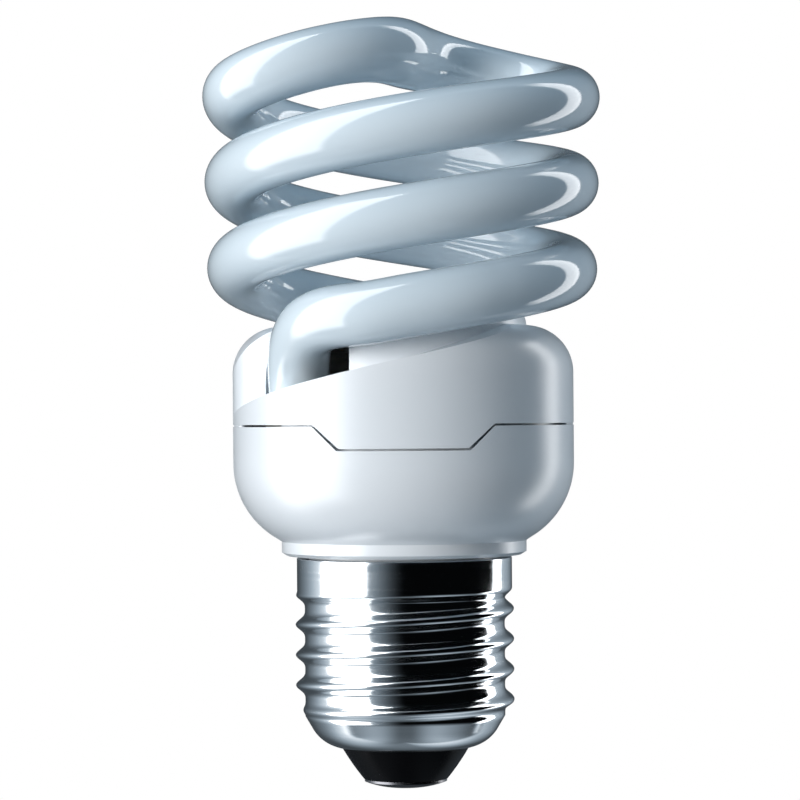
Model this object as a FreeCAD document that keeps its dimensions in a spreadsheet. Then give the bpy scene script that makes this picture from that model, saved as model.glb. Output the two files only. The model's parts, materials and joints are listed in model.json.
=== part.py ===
import FreeCAD, Part
import math
import os
import Sketcher

Vector = FreeCAD.Vector
Rotation = FreeCAD.Rotation
Placement = FreeCAD.Placement

# Spiral lamp with a screw cap. Millimetres, +Z along the axis from the cap to the glass,
# the origin on the lowest point of the centre contact, -Y towards the viewer.

SIZES = [
    # screw cap
    ("cap_wall", 0.3),
    ("cap_rim_gap", 0.3),
    ("cap_foot_radius", "=cap_knee_radius - cap_foot_inset"),
    ("cap_foot_height", 4.9),
    ("cap_foot_inset", 3.0),
    ("cap_foot_arc", 4.6),
    ("cap_knee_rise", 2.0),
    ("cap_knee_inset", 1.0),
    ("cap_knee_height", "=cap_foot_height + cap_knee_rise"),
    ("cap_knee_radius", "=thread_crest_radius - thread_depth - cap_knee_inset"),
    ("cap_curve_rise", 1.7),
    ("cap_curve_height", "=cap_knee_height + cap_curve_rise"),
    ("thread_crest_radius", 13.12),
    ("thread_depth", 1.12),
    ("thread_pitch", 3.629),
    ("thread_length", 15.3),
    ("thread_run_in", 1.7),
    ("thread_run_out", 1.3),
    ("thread_phase", 5.55),
    ("thread_phase_height", "=cap_curve_height + thread_phase"),
    ("barrel_step", 0.2),
    ("barrel_radius", "=thread_crest_radius - barrel_step"),
    ("barrel_length", 4.0),
    ("barrel_bottom", "=cap_curve_height + thread_length"),
    # glass insulator and centre contact
    ("insulator_tip_radius", 5.05),
    ("insulator_head", 2.7),
    ("insulator_top_height", "=cap_foot_height + insulator_head"),
    ("insulator_arc", 30.0),
    ("insulator_bore_radius", 1.6),
    ("contact_inset", 0.1),
    ("contact_radius", "=insulator_tip_radius - contact_inset"),
    ("contact_height", 1.05),
    ("contact_flat_radius", 1.2),
    ("contact_stem_clearance", 0.15),
    ("contact_stem_radius", "=insulator_bore_radius - contact_stem_clearance"),
    ("contact_stem_wall", 0.7),
    ("contact_bore_radius", "=contact_stem_radius - contact_stem_wall"),
    ("contact_stem_reach", 1.0),
    ("contact_stem_top", "=insulator_top_height + contact_stem_reach"),
    # lower housing
    ("housing_radius", 20.45),
    ("housing_wall", 1.2),
    ("collar_overhang", 1.13),
    ("collar_lip_radius", "=barrel_radius + collar_overhang"),
    ("collar_flare", 0.65),
    ("collar_radius", "=collar_lip_radius + collar_flare"),
    ("collar_face", "=barrel_bottom + barrel_length"),
    ("collar_lip_height", 0.4),
    ("collar_bottom", "=collar_face + collar_lip_height"),
    ("collar_height", 1.7),
    ("bowl_step", 0.6),
    ("bowl_end_radius", "=collar_radius + bowl_step"),
    ("bowl_end", "=collar_bottom + collar_height"),
    ("bowl_height", 8.8),
    ("bowl_arc_radius", 10.4),
    ("bowl_start", "=bowl_end + bowl_height"),
    ("neck_wall", 0.9),
    ("neck_clearance", 0.2),
    ("neck_bore_radius", "=thread_crest_radius - thread_depth - cap_wall - neck_clearance - neck_wall"),
    ("neck_length", 8.4),
    ("neck_bottom", "=collar_face - neck_length"),
    # parting line
    ("rim_wall_height", 4.7),
    ("parting_height", "=bowl_start + rim_wall_height"),
    ("parting_gap", 0.25),
    ("tongue_depth", 2.8),
    ("tongue_half_width", 7.6),
    ("lip_clearance", 0.15),
    ("lip_wall", 0.95),
    ("lip_rise", 0.5),
    ("lip_notch_angle", 14),
    # cover
    ("shoulder_radius", 5.6),
    ("cover_rise", 11.8),
    ("cover_height", "=parting_height + cover_rise"),
    ("hub_edge_radius", 2.1),
    ("hub_dome", 0.35),
    ("ramp_sill", 1.3),
    ("ramp_low", "=parting_height + ramp_sill"),
    ("ramp_start_angle", 188),
    ("ramp_angle", 135),
    ("curl_radius", 6.55),
    ("leg_clearance", 0.45),
    ("window_clearance", 0.2),
    ("window_radius", "=tube_radius + window_clearance"),
    ("window_shift", 2.1),
    ("window_circle", "=leg_circle + window_shift"),
    ("window_ahead", 18),
    ("window_angle", "=leg_angle + window_ahead"),
    ("window_drop", 1.3),
    ("window_height", "=cover_height - window_drop"),
    # glass spiral
    ("tube_radius", 3.65),
    ("coil_radius", 20.25),
    ("coil_taper", 0.5),
    ("coil_radius_low", "=coil_radius - coil_taper"),
    ("coil_pitch", 20.6),
    ("coil_turn_angle", 462),
    ("coil_end_rise", 1.063),
    ("coil_top_height", "=cover_height + coil_end_rise + coil_pitch * coil_turn_angle / 360"),
    ("crown_rise", 5.6),
    ("crown_height", "=coil_top_height + crown_rise"),
    ("crown_bend_radius", 5.72),
    ("crown_offset", 2.93),
    ("crown_lean", 3.45),
    ("crown_lean_rise", 4.5),
    ("leg_inset", 6.85),
    ("leg_circle", "=housing_radius - leg_inset"),
    ("leg_angle", 213),
    ("leg_end_gap", 1.6),
    # circuit board and its parts
    ("board_height", "=bowl_start"),
    ("board_thickness", 1.6),
    ("board_clearance", 0.85),
    ("board_radius", "=housing_radius - housing_wall - lip_clearance - lip_wall - board_clearance"),
    ("board_ledge", 1.2),
    ("pin_width", 0.8),
    ("pin_length", 5.2),
    ("pin_inset", 5.2),
    ("pin_circle", "=leg_circle - pin_inset"),
    ("pin_hole_radius", 0.7),
    ("lead_radius", 0.3),
    ("lead_gap", 0.05),
    ("cement_wall", 1.15),
    ("cement_radius", "=tube_radius + cement_wall"),
    ("cement_height", 2.3),
    ("storage_capacitor_radius", 3.9),
    ("storage_capacitor_length", 14.0),
    ("storage_capacitor_place", 6.5),
    ("part_standoff", 0.3),
    ("choke_width", 12.2),
    ("choke_depth", 6.0),
    ("choke_height", 11.4),
    ("choke_leg", 3.0),
    ("choke_place", 3.7),
    ("bobbin_flange", 0.8),
    ("bobbin_side", 8.4),
    ("bobbin_hole_gap", 0.15),
    ("drive_ring_radius", 4.0),
    ("drive_ring_bore", 2.1),
    ("drive_ring_height", 3.2),
    ("transistor_width", 4.6),
    ("transistor_depth", 3.6),
    ("film_length", 7.2),
    ("film_width", 3.2),
    ("film_height", 6.2),
    ("disc_radius", 2.6),
    ("disc_thickness", 2.0),
    ("diode_radius", 1.3),
    ("diode_length", 4.6),
    ("resistor_radius", 0.9),
    ("resistor_length", 3.4),
    ("drum_radius", 2.7),
    ("drum_core_radius", 1.7),
    ("drum_height", 5.6),
    ("fuse_radius", 1.5),
    ("fuse_length", 8.0),
    ("fuse_gap", 2.4),
    ("fuse_height", "=contact_stem_top + fuse_gap"),
]

doc = FreeCAD.newDocument("SpiralLamp")
sheet = doc.addObject("Spreadsheet::Sheet", "Sizes")
for row, (alias, given) in enumerate(SIZES, start=1):
    sheet.set("A%d" % row, alias)
    sheet.setAlias("B%d" % row, alias)
for row, (alias, given) in enumerate(SIZES, start=1):
    sheet.set("B%d" % row, str(given))
doc.recompute()


def size(alias):
    """A size as a plain number."""
    return float(sheet.get(alias))


def words(text):
    """The parts of a sum such as 'housing_radius - housing_wall'."""
    for sign in "+-*/()":
        text = text.replace(sign, " %s " % sign)
    return text.split()


def formula(text):
    """The sum as an expression on the sheet."""
    out = []
    for word in words(text):
        out.append("Sizes." + word if word[0].isalpha() else word)
    return " ".join(out)


def number(text):
    """The sum as a number: terms with a plus or minus, each a product or quotient."""
    total, sign, term, mode = 0.0, 1.0, None, "*"
    for word in words(text) + ["+"]:
        if word in ("+", "-"):
            if term is not None:
                total += sign * term
            sign = 1.0 if word == "+" else -1.0
            term = None
            mode = "*"
        elif word in ("*", "/"):
            mode = word
        else:
            value = size(word) if word[0].isalpha() else float(word)
            if term is None:
                term = value
            elif mode == "*":
                term *= value
            else:
                term /= value
    return total


def bind(thing, **sums):
    """Tie properties of an object to sums of sizes."""
    for name, text in sums.items():
        thing.setExpression(name, formula(text))


def place(thing, x="0", y="0", z="0"):
    """Tie the base point of an object to sums of sizes."""
    for axis, text in (("x", x), ("y", y), ("z", z)):
        if text != "0":
            thing.setExpression("Placement.Base." + axis, formula(text))
    return thing


def base_plane(body, role):
    """The named plane or axis of a body."""
    for feature in body.Origin.OriginFeatures:
        if feature.Role == role:
            return feature
    raise ValueError(role)


def corner(sketch, geo, end, x, z):
    """Hold one end of a line at two sums of sizes."""
    if x == "0":
        sketch.addConstraint(Sketcher.Constraint("PointOnObject", geo, end, -2))
    else:
        item = sketch.addConstraint(Sketcher.Constraint("DistanceX", -1, 1, geo, end, number(x)))
        sketch.setExpression("Constraints[%d]" % item, formula(x))
    if z == "0":
        sketch.addConstraint(Sketcher.Constraint("PointOnObject", geo, end, -1))
    else:
        item = sketch.addConstraint(Sketcher.Constraint("DistanceY", -1, 1, geo, end, number(z)))
        sketch.setExpression("Constraints[%d]" % item, formula(z))


def arc_between(first, last, radius):
    """An arc from first to last that bulges to the right of the way between them."""
    span = last - first
    half = span.Length / 2
    bow = math.sqrt(max(radius * radius - half * half, 1e-9))
    side = Vector(-span.y, span.x, 0).normalize()
    centre = (first + last) * 0.5 + side * (bow if radius > 0 else -bow)
    middle = (first + last) * 0.5 - side * (abs(radius) - bow) * (1 if radius > 0 else -1)
    return Part.Arc(first, middle, last), centre


def outline(body, name, points, plane="XZ_Plane"):
    """A closed sketch. Each point is (x, z) or (x, z, radius), the radius being that of
    the arc that leads from it to the next point; a leading ! turns the arc's bulge over."""
    sketch = body.newObject("Sketcher::SketchObject", name)
    sketch.AttachmentSupport = [(base_plane(body, plane), "")]
    sketch.MapMode = "FlatFace"
    spots = [Vector(number(p[0]), number(p[1]), 0) for p in points]
    count = len(points)
    for i, point in enumerate(points):
        first = spots[i]
        last = spots[(i + 1) % count]
        if len(point) == 2:
            sketch.addGeometry(Part.LineSegment(first, last), False)
            continue
        flip = point[2].startswith("!")
        radius = number(point[2].lstrip("!"))
        arc, centre = arc_between(first, last, -radius if flip else radius)
        sketch.addGeometry(arc, False)
    ends = []
    for i, point in enumerate(points):
        first = spots[i]
        start = sketch.getPoint(i, 1)
        ends.append((1, 2) if (start - first).Length < 1e-6 else (2, 1))
    for i in range(count):
        after = (i + 1) % count
        sketch.addConstraint(Sketcher.Constraint("Coincident", i, ends[i][1], after, ends[after][0]))
    for i, point in enumerate(points):
        corner(sketch, i, ends[i][0], point[0], point[1])
        if len(point) == 3:
            text = point[2].lstrip("!")
            item = sketch.addConstraint(Sketcher.Constraint("Radius", i, number(text)))
            sketch.setExpression("Constraints[%d]" % item, formula(text))
    return sketch


def turned(name, points):
    """A body made by turning one outline about the lamp's axis."""
    body = doc.addObject("PartDesign::Body", name)
    sketch = outline(body, name + "_outline", points)
    turn = body.newObject("PartDesign::Revolution", name + "_turn")
    turn.Profile = sketch
    turn.ReferenceAxis = (base_plane(body, "Z_Axis"), [""])
    turn.Angle = 360
    doc.recompute()
    return body


def cylinder(name, radius, height, x="0", y="0", z="0"):
    """A cylinder with its size and place tied to the sheet."""
    thing = doc.addObject("Part::Cylinder", name)
    bind(thing, Radius=radius, Height=height)
    return place(thing, x, y, z)


def block(name, length, width, height, x="0", y="0", z="0"):
    """A block with its size and place tied to the sheet."""
    thing = doc.addObject("Part::Box", name)
    bind(thing, Length=length, Width=width, Height=height)
    return place(thing, x, y, z)


def cut(name, base, tool):
    thing = doc.addObject("Part::Cut", name)
    thing.Base = base
    thing.Tool = tool
    return thing


def common(name, base, tool):
    thing = doc.addObject("Part::Common", name)
    thing.Base = base
    thing.Tool = tool
    return thing


def fuse(name, things):
    thing = doc.addObject("Part::MultiFuse", name)
    thing.Shapes = things
    return thing


def group(name, things):
    thing = doc.addObject("Part::Compound", name)
    thing.Links = things
    return thing


def polar(radius, degrees, height):
    angle = math.radians(degrees)
    return Vector(radius * math.cos(angle), radius * math.sin(angle), height)


def half_turned(point):
    return Vector(-point.x, -point.y, point.z)


# Glass spiral: two strands of one right-handed double helix, each the other one turned
# by half a turn, a bridge across the top, and two legs that bend down into the cover.

def strand_point(degrees):
    """A point of the first strand, counted in degrees from its upper right side."""
    share = min(max(-degrees / 360.0, 0.0), 1.0)
    radius = size("coil_radius") + (size("coil_radius_low") - size("coil_radius")) * share
    height = size("coil_top_height") + size("coil_pitch") * degrees / 360.0
    return polar(radius, degrees, height)


def leg_points():
    """The leg of the first strand, from its end over the board up to the coil."""
    exit_point = strand_point(-size("coil_turn_angle"))
    low = size("leg_circle")
    reach = size("coil_radius_low") - low
    foot = size("board_height") + size("board_thickness") + size("leg_end_gap")
    bend = ((0.13, 1.2, 10.9), (0.263, 3.7, 7.4), (0.452, 9.6, 4.1), (0.702, 19.9, 1.5), (0.894, 31.2, 0.44))
    points = [polar(low, size("leg_angle"), foot)]
    points.append(polar(low + 0.04 * reach, size("leg_angle") + 0.4, foot + (exit_point.z - 10.9 - foot) * 0.45))
    for share, ahead, drop in bend:
        points.append(polar(low + share * reach, size("leg_angle") + ahead, exit_point.z - drop))
    return points


def coil_points():
    """The helical part of the first strand, up to where it bends in to the crown."""
    low = -size("coil_turn_angle")
    high = crown_angle() - 8.0
    steps = int((high - low) / 12.0 + 0.5)
    return [strand_point(low + (high - low) * i / steps) for i in range(steps + 1)]


def crown_angle():
    """The angle at which the strand leaves the helix."""
    bend = size("crown_bend_radius")
    return math.degrees(math.acos((bend + size("crown_offset")) / (size("coil_radius") - bend)))


def crown_points():
    """The bend of the first strand towards the middle of the crown."""
    bend = size("crown_bend_radius")
    start = crown_angle()
    middle = polar(size("coil_radius") - bend, start, 0)
    base = strand_point(start).z
    rise = size("crown_height") - base
    points = []
    for ahead, share in ((0, 0.0), (30, 0.28), (62, 0.59), (95, 0.83)):
        spot = middle + polar(bend, start + ahead, base + rise * share)
        points.append(spot)
    points.append(Vector(size("crown_offset") * 0.6, middle.y * 0.4, base + rise * 1.11))
    return points


def leaned(point):
    """The crown leans a little to the front."""
    over = (point.z - size("coil_top_height") + 0.3) / size("crown_lean_rise")
    share = min(max(over, 0.0), 1.0)
    share = share * share * (3 - 2 * share)
    return Vector(point.x, point.y, point.z + share * point.y * math.tan(math.radians(size("crown_lean"))))


def smooth(points):
    """A smooth curve through the points."""
    curve = Part.BSplineCurve()
    curve.interpolate(points)
    return curve


def skin(curve, radius, solid, runs=1):
    """A round tube along a curve in so many runs, closed or as its wall alone."""
    edges = []
    span = curve.LastParameter - curve.FirstParameter
    for i in range(runs):
        run = curve.copy()
        run.segment(curve.FirstParameter + span * i / runs, curve.FirstParameter + span * (i + 1) / runs)
        edges.append(run.toShape())
    start = curve.value(curve.FirstParameter)
    along = curve.tangent(curve.FirstParameter)[0]
    ring = Part.Wire([Part.Circle(start, along, radius).toShape()])
    return Part.Wire(edges).makePipeShell([ring], solid, False)


def rod(name, points, radius):
    """A round rod through the points, its radius a sum of sizes."""
    thing = doc.addObject("Part::Feature", name)
    thing.Shape = skin(smooth(points), number(radius), True)
    return thing


def bent_wire(name, points):
    """A thin lead of straight runs with round elbows."""
    radius = size("lead_radius")
    runs = []
    for first, last in zip(points, points[1:]):
        runs.append(Part.makeCylinder(radius, (last - first).Length, first, last - first))
    runs += [Part.makeSphere(radius, point) for point in points[1:-1]]
    thing = doc.addObject("Part::Feature", name)
    thing.Shape = runs[0].fuse(runs[1:])
    return thing


def make_tube():
    first = leg_points() + coil_points() + crown_points()
    second = [half_turned(point) for point in reversed(first)]
    middle = Vector(0, 0, size("crown_height"))
    path = smooth([leaned(point) for point in first + [middle] + second])
    radius = size("tube_radius")
    # Each half is drawn from the middle of the crown down to its leg.
    front = path.copy()
    front.segment(path.FirstParameter, path.getKnot(len(first) + 1))
    front.reverse()
    back = path.copy()
    back.segment(path.getKnot(len(first) + 1), path.LastParameter)
    faces = []
    for half in (front, back):
        faces += skin(half, radius, False, 8).Faces
        stop = half.value(half.LastParameter)
        along = half.tangent(half.LastParameter)[0]
        faces.append(Part.Face(Part.Wire([Part.Circle(stop, along, radius).toShape()])))
    shell = Part.makeShell(faces)
    shell.sewShape()
    thing = doc.addObject("Part::Feature", "spiral_tube")
    thing.Shape = Part.makeSolid(Part.Shell(shell.Faces))
    return thing


def leg_way(below):
    """The path of a leg from the coil down to a little below its end."""
    first = leg_points() + coil_points()[:4]
    foot = Vector(first[0].x, first[0].y, first[0].z - below)
    return [point for point in reversed([foot] + first)]


def leg_holes():
    """The two ways of the legs through the cover, with clearance."""
    first = leg_way(3.0)
    ways = []
    for name, points in (("front_way", first), ("back_way", [half_turned(p) for p in first])):
        ways.append(rod(name, points, "tube_radius + leg_clearance"))
    for name, turn in (("front_window", 0), ("back_window", 180)):
        spot = polar(size("window_circle"), size("window_angle") + turn, size("parting_height"))
        window = cylinder(name, "window_radius", "window_height - parting_height")
        window.Placement = Placement(spot, Rotation())
        ways.append(window)
    return ways


# Cover: a cup with a round shoulder and a low hub, two helical troughs under the coil,
# and the wall that curls in round each leg.

def cover_form(name, inset):
    """The cover's outside, or with an inset the hollow inside its wall."""
    wall = " - housing_wall" if inset else ""
    rim = "housing_radius" + wall
    hub = "housing_radius - shoulder_radius" + wall
    low = "parting_height - 2" if inset else "parting_height + parting_gap / 2"
    top = "cover_height + hub_edge_radius + 0.1"
    form = turned(name + "_form", [
        ("0", low),
        (rim, low),
        (rim, "cover_height - shoulder_radius", "shoulder_radius" + wall),
        ("housing_radius - shoulder_radius", "cover_height" + wall),
        (hub, "cover_height + 0.05" + wall),
        (hub, "cover_height + 0.1" + wall, "hub_edge_radius"),
        (hub + " - hub_edge_radius", top + wall),
        ("0", top + " + hub_dome" + wall),
    ])
    # Each ramp is one rectangle carried along a helix.
    body = doc.addObject("PartDesign::Body", name + "_ramps")
    body.Placement = Placement(Vector(0, 0, 0), Rotation(Vector(0, 0, 1), size("ramp_start_angle")))
    floor = "ramp_low" + wall
    sketch = outline(body, name + "_ramp_outline", [
        (hub, floor),
        ("housing_radius + 3", floor),
        ("housing_radius + 3", top + " + 3"),
        (hub, top + " + 3"),
    ])
    ramp = body.newObject("PartDesign::AdditiveHelix", name + "_ramp")
    ramp.Profile = sketch
    ramp.ReferenceAxis = (base_plane(body, "Z_Axis"), [""])
    ramp.Mode = "pitch-height-angle"
    rise = "(Sizes.cover_height - Sizes.ramp_low)"
    ramp.setExpression("Pitch", rise + " * 360 / Sizes.ramp_angle")
    ramp.setExpression("Height", rise + " + 0.25")
    body.Tip = ramp
    doc.recompute()
    pattern = body.newObject("PartDesign::PolarPattern", name + "_ramp_pair")
    pattern.Originals = [ramp]
    pattern.Axis = (base_plane(body, "Z_Axis"), [""])
    pattern.Angle = 360
    pattern.Occurrences = 2
    body.Tip = pattern
    curls = []
    for side, turn in (("front", 0), ("back", 180)):
        curl = cylinder(name + "_curl_" + side, "curl_radius" + wall, top + " + 6")
        spot = polar(size("housing_radius") - size("curl_radius"), size("ramp_start_angle") + turn, 0)
        curl.Placement = Placement(spot, Rotation())
        curls.append(curl)
    troughs = cut(name + "_troughs", body, fuse(name + "_curls", curls))
    return cut(name + "_solid", form, troughs)


def tongue_prism(name, grow):
    """The trapezium of the parting line, front to back."""
    body = doc.addObject("PartDesign::Body", name)
    edge = " + parting_gap / 2" if grow else " - parting_gap / 2"
    low = "parting_height - tongue_depth" + (" - parting_gap / 2" if grow else " + parting_gap / 2")
    top = "parting_height + parting_gap"
    wide = "tongue_half_width + tongue_depth" + edge + " + parting_gap * 3 / 2"
    sketch = body.newObject("Sketcher::SketchObject", name + "_outline")
    sketch.AttachmentSupport = [(base_plane(body, "XZ_Plane"), "")]
    sketch.MapMode = "FlatFace"
    narrow = "tongue_half_width" + edge
    spots = [(narrow, low, -1), (narrow, low, 1), (wide, top, 1), (wide, top, -1)]
    points = [Vector(number(x) * side, number(z), 0) for x, z, side in spots]
    for i in range(4):
        sketch.addGeometry(Part.LineSegment(points[i], points[(i + 1) % 4]), False)
    for i in range(4):
        sketch.addConstraint(Sketcher.Constraint("Coincident", i, 2, (i + 1) % 4, 1))
    for i, (x, z, side) in enumerate(spots):
        item = sketch.addConstraint(Sketcher.Constraint("DistanceX", -1, 1, i, 1, side * number(x)))
        sketch.setExpression("Constraints[%d]" % item, "%d * (%s)" % (side, formula(x)))
        item = sketch.addConstraint(Sketcher.Constraint("DistanceY", -1, 1, i, 1, number(z)))
        sketch.setExpression("Constraints[%d]" % item, formula(z))
    pad = body.newObject("PartDesign::Pad", name + "_pad")
    pad.Profile = sketch
    pad.Midplane = True
    bind(pad, Length="housing_radius * 3")
    return body


def make_cover():
    outer = cover_form("cover_outer", False)
    inner = cover_form("cover_inner", True)
    wall = cut("cover_wall", outer, inner)
    open_wall = cut("cover_open", wall, fuse("cover_ways", leg_holes()))
    skirt = turned("cover_skirt", [
        ("housing_radius - housing_wall", "parting_height - tongue_depth"),
        ("housing_radius", "parting_height - tongue_depth"),
        ("housing_radius", "parting_height + parting_gap / 2"),
        ("housing_radius - housing_wall", "parting_height + parting_gap / 2"),
    ])
    tongues = common("cover_tongues", skirt, tongue_prism("tongue_tool", False))
    return fuse("cover", [open_wall, tongues])


# Lower housing: a bowl with a collar, a lip that the cover slips over, a ledge for the
# board and a neck inside the cap.

def make_housing():
    lip = "housing_radius - housing_wall - lip_clearance"
    bore = lip + " - lip_wall"
    seat = "board_radius - board_ledge"
    top = "parting_height - parting_gap / 2"
    form = turned("housing_form", [
        ("neck_bore_radius", "neck_bottom"),
        ("neck_bore_radius + neck_wall", "neck_bottom"),
        ("neck_bore_radius + neck_wall", "collar_face"),
        ("collar_lip_radius", "collar_face"),
        ("collar_radius", "collar_bottom"),
        ("collar_radius", "bowl_end - 0.4"),
        ("bowl_end_radius", "bowl_end", "bowl_arc_radius"),
        ("housing_radius", "bowl_start"),
        ("housing_radius", top),
        (lip, top),
        (lip, top + " + parting_gap + lip_rise"),
        (bore, top + " + parting_gap + lip_rise"),
        (bore, "board_height"),
        (seat, "board_height"),
        (seat, "bowl_start - housing_wall * 4"),
        ("bowl_end_radius - housing_wall * 2", "bowl_end + 0.4"),
        ("neck_bore_radius", "collar_bottom"),
    ])
    notch = turned("housing_notch_ring", [
        (lip, "parting_height - tongue_depth - 1"),
        ("housing_radius + 1", "parting_height - tongue_depth - 1"),
        ("housing_radius + 1", "parting_height + 1"),
        (lip, "parting_height + 1"),
    ])
    notches = common("housing_notches", notch, tongue_prism("notch_tool", True))
    rooms = [lip_room("lip_room_front", 0), lip_room("lip_room_back", 180)]
    return cut("base_housing", form, fuse("housing_cuts", [notches] + rooms))


def lip_room(name, turn):
    """Room in the lip for the low end of one ramp."""
    room = block(name, "housing_wall * 3", "curl_radius * 2", "lip_rise + 2")
    side = Rotation(Vector(0, 0, 1), size("ramp_start_angle") + size("lip_notch_angle") + turn)
    low = size("parting_height") - size("parting_gap") / 2
    spot = Vector(size("housing_radius") - size("housing_wall") * 3.5, -size("curl_radius"), low)
    room.Placement = Placement(side.multVec(spot), side)
    return room


# Screw cap: thin sheet whose round thread is a circle, set a little off the axis, carried
# round it. The same form with a smaller circle hollows it.

def thread_rod(name, inset):
    """Circles a little off the axis, carried once round it for each pitch and drawn back
    to the axis at both ends, where the thread runs out."""
    low = size("cap_curve_height")
    high = size("barrel_bottom")
    off = size("thread_depth") / 2
    mean = size("thread_crest_radius") - off
    steps = int((high - low) / size("thread_pitch") * 16 + 0.5)
    rings = []
    for i in range(steps + 1):
        z = low + (high - low) * i / steps
        start = min((z - low) / size("thread_run_in"), 1.0)
        stop = min((high - z) / size("thread_run_out"), 1.0)
        start = start * start * (3 - 2 * start)
        stop = stop * stop * (3 - 2 * stop)
        radius = mean - off * (1 - start) + (size("barrel_radius") - mean) * (1 - stop)
        turn = 360 * (z - size("thread_phase_height")) / size("thread_pitch")
        ring = Part.Circle(polar(off * start * stop, turn, z), Vector(0, 0, 1), radius - inset)
        rings.append(Part.Wire([ring.toShape()]))
    thing = doc.addObject("Part::Feature", name)
    thing.Shape = Part.makeLoft(rings, True, False, False)
    return thing


def cap_form(name, inset):
    """The cap's outside, or with an inset the hollow inside its sheet."""
    wall = " - cap_wall" if inset else ""
    foot = [("0", "cap_foot_height")]
    if inset:
        foot = [("0", "cap_foot_height - 1"), ("cap_foot_radius" + wall, "cap_foot_height - 1")]
    foot += [
        ("cap_foot_radius" + wall, "cap_foot_height" + (" + cap_wall" if inset else ""), "cap_foot_arc"),
        ("cap_knee_radius" + wall, "cap_knee_height" + (" + cap_wall / 2" if inset else "")),
        ("thread_crest_radius - thread_depth" + wall, "cap_curve_height"),
        ("0", "cap_curve_height"),
    ]
    thread = thread_rod(name + "_thread", size("cap_wall") if inset else 0.0)
    length = "collar_face - cap_rim_gap - barrel_bottom" + (" + 1" if inset else "")
    barrel = cylinder(name + "_barrel", "barrel_radius" + wall, length, z="barrel_bottom")
    return fuse(name + "_solid", [turned(name + "_foot", foot), thread, barrel])


def make_cap():
    return cut("screw_shell", cap_form("shell_outer", False), cap_form("shell_inner", True))


def make_insulator():
    return turned("insulator", [
        ("insulator_bore_radius", "contact_height"),
        ("insulator_tip_radius", "contact_height", "insulator_arc"),
        ("cap_foot_radius - cap_wall", "cap_foot_height"),
        ("cap_foot_radius - cap_wall", "cap_foot_height + cap_wall"),
        ("cap_foot_radius - cap_wall", "insulator_top_height"),
        ("insulator_bore_radius", "insulator_top_height"),
    ])


def make_contact():
    return turned("contact", [
        ("0", "0"),
        ("contact_flat_radius", "0", "contact_radius * 2.2"),
        ("contact_radius", "contact_height - 0.3"),
        ("contact_radius", "contact_height"),
        ("contact_stem_radius", "contact_height"),
        ("contact_stem_radius", "contact_stem_top"),
        ("contact_bore_radius", "contact_stem_top"),
        ("contact_bore_radius", "contact_height"),
        ("0", "contact_height"),
    ])


# Circuit board and what it carries. The parts hang below it, the wrap pins stand on it.

def pin_spots():
    """The four wrap pins, two beside each leg."""
    spots = []
    for turn in (0, 180):
        for ahead in (-28, 22):
            spots.append(polar(size("pin_circle"), size("leg_angle") + turn + ahead, 0))
    return spots


def make_board():
    disc = cylinder("board_disc", "board_radius", "board_thickness", z="board_height")
    holes = []
    for i, spot in enumerate(pin_spots()):
        hole = cylinder("board_hole_%d" % i, "pin_hole_radius", "board_thickness + 2")
        hole.Placement = Placement(Vector(spot.x, spot.y, size("board_height") - 1), Rotation())
        holes.append(hole)
    return cut("circuit_board", disc, fuse("board_holes", holes))


def make_pins():
    pins = []
    for i, spot in enumerate(pin_spots()):
        pin = block("pin_%d" % i, "pin_width", "pin_width", "pin_length")
        half = size("pin_width") / 2
        low = size("board_height") - 0.2
        pin.Placement = Placement(Vector(spot.x - half, spot.y - half, low), Rotation())
        pins.append(pin)
    return group("wrap_pins", pins)


def make_tube_leads():
    """Two wires from each leg's end to its pins."""
    leads = []
    foot = size("board_height") + size("board_thickness") + size("leg_end_gap")
    low = size("board_height") + size("board_thickness") + 0.7
    spots = pin_spots()
    for i, spot in enumerate(spots):
        turn = 0 if i < 2 else 180
        ahead = -5 if i % 2 == 0 else 5
        start = polar(size("leg_circle") - 0.6, size("leg_angle") + turn + ahead, foot - 0.3)
        stop = spot + (Vector(start.x, start.y, 0) - spot).normalize() * (size("pin_width") * 0.72 + size("lead_radius"))
        stop.z = low
        bend = start + (stop - start) * 0.3
        bend.z = low + 0.1
        leads.append(bent_wire("tube_lead_%d" % i, [start, bend, stop]))
    return group("tube_leads", leads)


def make_cement():
    """Cement round each leg under the cover, inside the lip."""
    collars = []
    spots = (("front", 0), ("back", 180))
    low = "board_height + board_thickness + leg_end_gap + 0.3"
    bound = cylinder("cement_bound", "housing_radius - housing_wall - lip_clearance - lip_wall - 0.2", "cover_height")
    for side, turn in spots:
        blob = cylinder("cement_blob_" + side, "cement_radius", "cement_height", z=low)
        spot = polar(size("leg_circle"), size("leg_angle") + turn, 0)
        blob.setExpression("Placement.Base.x", None)
        blob.Placement = Placement(Vector(spot.x, spot.y, number(low)), Rotation())
        collars.append(blob)
    first = leg_way(2.0)
    ways = []
    for name, points in (("cement_front", first), ("cement_back", [half_turned(p) for p in first])):
        ways.append(rod(name, points, "tube_radius + lead_gap"))
    rings = cut("cement_rings", fuse("cement_blobs", collars), fuse("cement_ways", ways))
    return common("tube_cement", rings, bound)


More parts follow.
